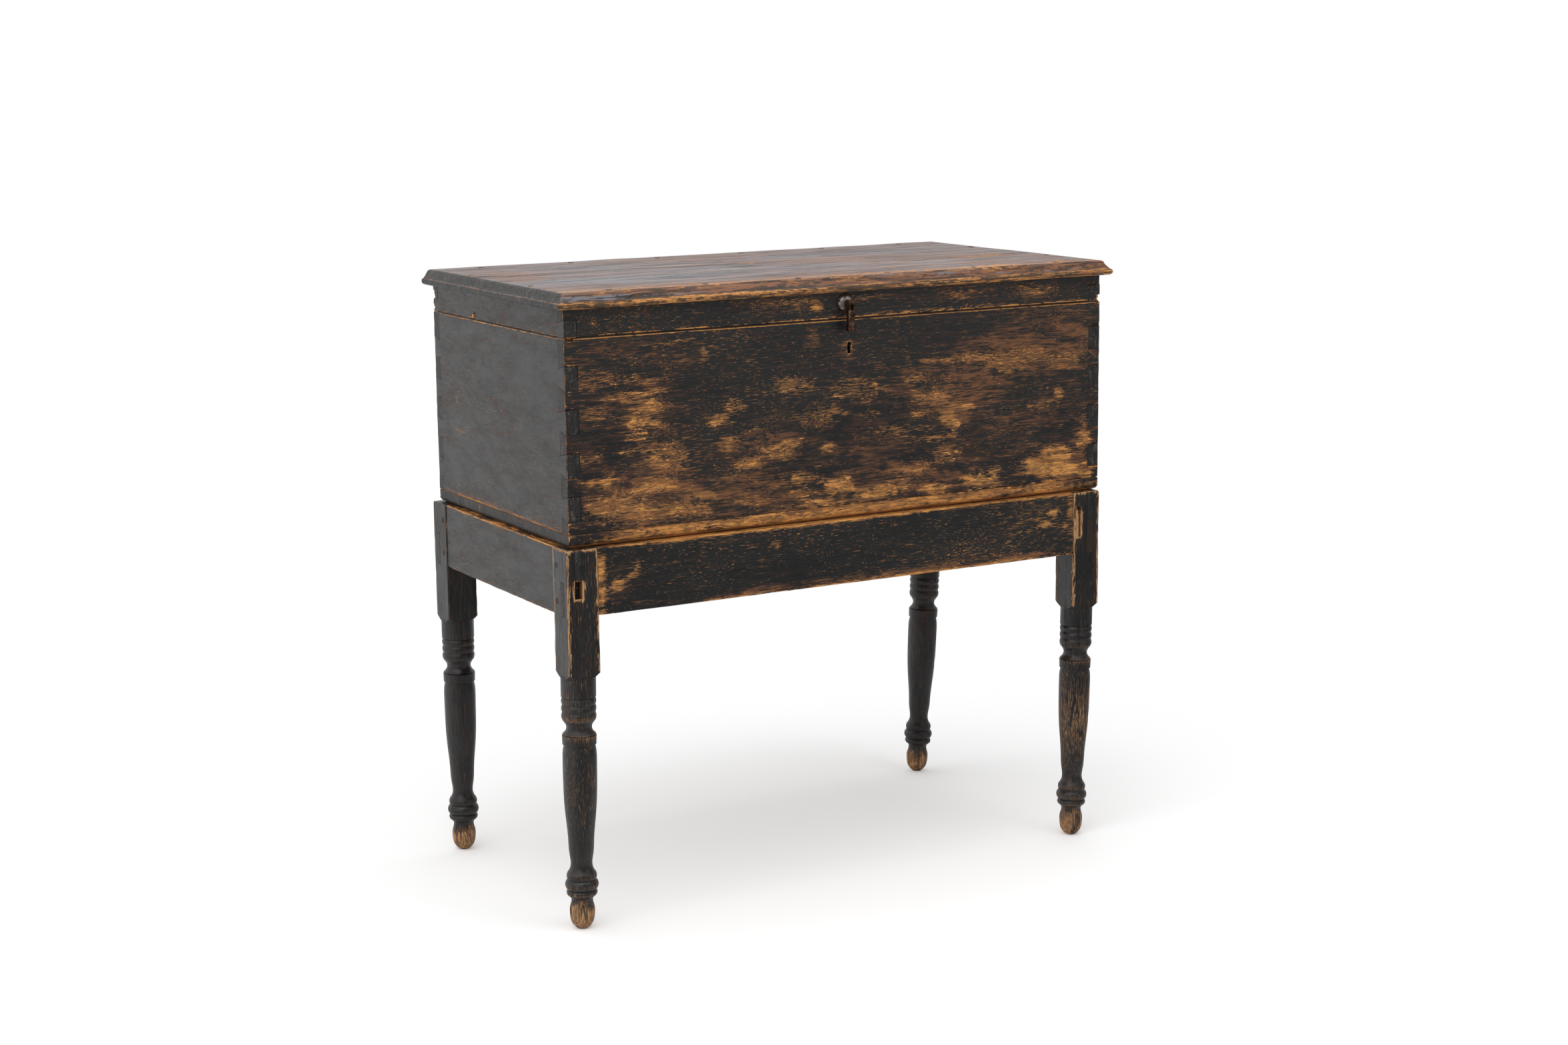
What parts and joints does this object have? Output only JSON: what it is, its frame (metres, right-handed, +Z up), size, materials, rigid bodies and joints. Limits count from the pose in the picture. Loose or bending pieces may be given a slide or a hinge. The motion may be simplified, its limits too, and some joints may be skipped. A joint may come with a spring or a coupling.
{
  "type": "sugar chest",
  "caption": "Worn black-painted pine chest: a dovetailed case with a hinged moulded lid, divided inside, on a pegged stand of turned legs.",
  "frame": {"origin": "on the floor, under the middle of the chest's outline", "axes": "+X along the chest's width to the viewer's right, +Y to the back, +Z up; the front faces -Y"},
  "size_m": [0.928, 0.4932, 0.9047],
  "materials": {
    "painted_pine": "worn black paint over pine",
    "painted_leg": "worn black paint over turned wood",
    "worn_lid_pine": "worn, weathered pine with traces of paint",
    "bare_pine": "aged bare pine",
    "peg_wood": "end grain, thinly painted",
    "rusted_iron": "dark, lightly rusted",
    "patinated_brass": "brown patina",
    "worn_brass": "worn, dull"
  },
  "bodies": {
    "case": {"tenon_pegs": "peg_wood", "leg_front_left": "painted_leg", "leg_front_right": "painted_leg", "leg_back_left": "painted_leg", "leg_back_right": "painted_leg", "mortise_slip": "peg_wood", "rail_front": "painted_pine", "rail_back": "painted_pine", "rail_left": "painted_pine", "rail_right": "painted_pine", "bottom_nails": "rusted_iron", "hinge_screws_case": "rusted_iron", "hinge_left_case_leaf": "rusted_iron", "hinge_left_pin": "rusted_iron", "hinge_right_case_leaf": "rusted_iron", "hinge_right_pin": "rusted_iron", "lock_screws": "rusted_iron", "lock_case": "rusted_iron", "lock_spring": "rusted_iron", "case_front": "painted_pine", "case_back": "painted_pine", "case_left": "painted_pine", "case_right": "painted_pine", "bin_divider": "bare_pine", "bottom_board_front": "painted_pine", "bottom_board_middle": "painted_pine", "bottom_board_back": "painted_pine"},
    "lid": {"lid_board": "worn_lid_pine", "lid_rail_front": "painted_pine", "lid_rail_back": "painted_pine", "lid_rail_left": "painted_pine", "lid_rail_right": "painted_pine", "lid_nails": "rusted_iron", "hinge_left_lid_leaf": "rusted_iron", "hinge_right_lid_leaf": "rusted_iron", "hinge_screws_lid": "rusted_iron", "pull_post": "patinated_brass", "pull_rosette": "worn_brass", "pull_nut": "patinated_brass", "lock_keeper": "rusted_iron", "keeper_screws": "rusted_iron"},
    "pull": {"pull_drop": "patinated_brass", "pull_pin": "patinated_brass"},
    "lock_bolt": {"lock_bolt": "rusted_iron"}
  },
  "joints": [
    {"name": "lid_hinge", "type": "hinge", "parent": "case", "child": "lid", "pos_m": [0, 0.2411, 0.8427], "axis": [-1, 0, 0], "range_deg": [0, 105]},
    {"name": "pull_swing", "type": "hinge", "parent": "lid", "child": "pull", "pos_m": [-0.003, -0.2406, 0.8665], "axis": [-1, 0, 0], "range_deg": [-8, 90]},
    {"name": "lock_slide", "type": "slide", "parent": "case", "child": "lock_bolt", "axis": [1, 0, 0], "range_m": [0, 0.008]}
  ]
}
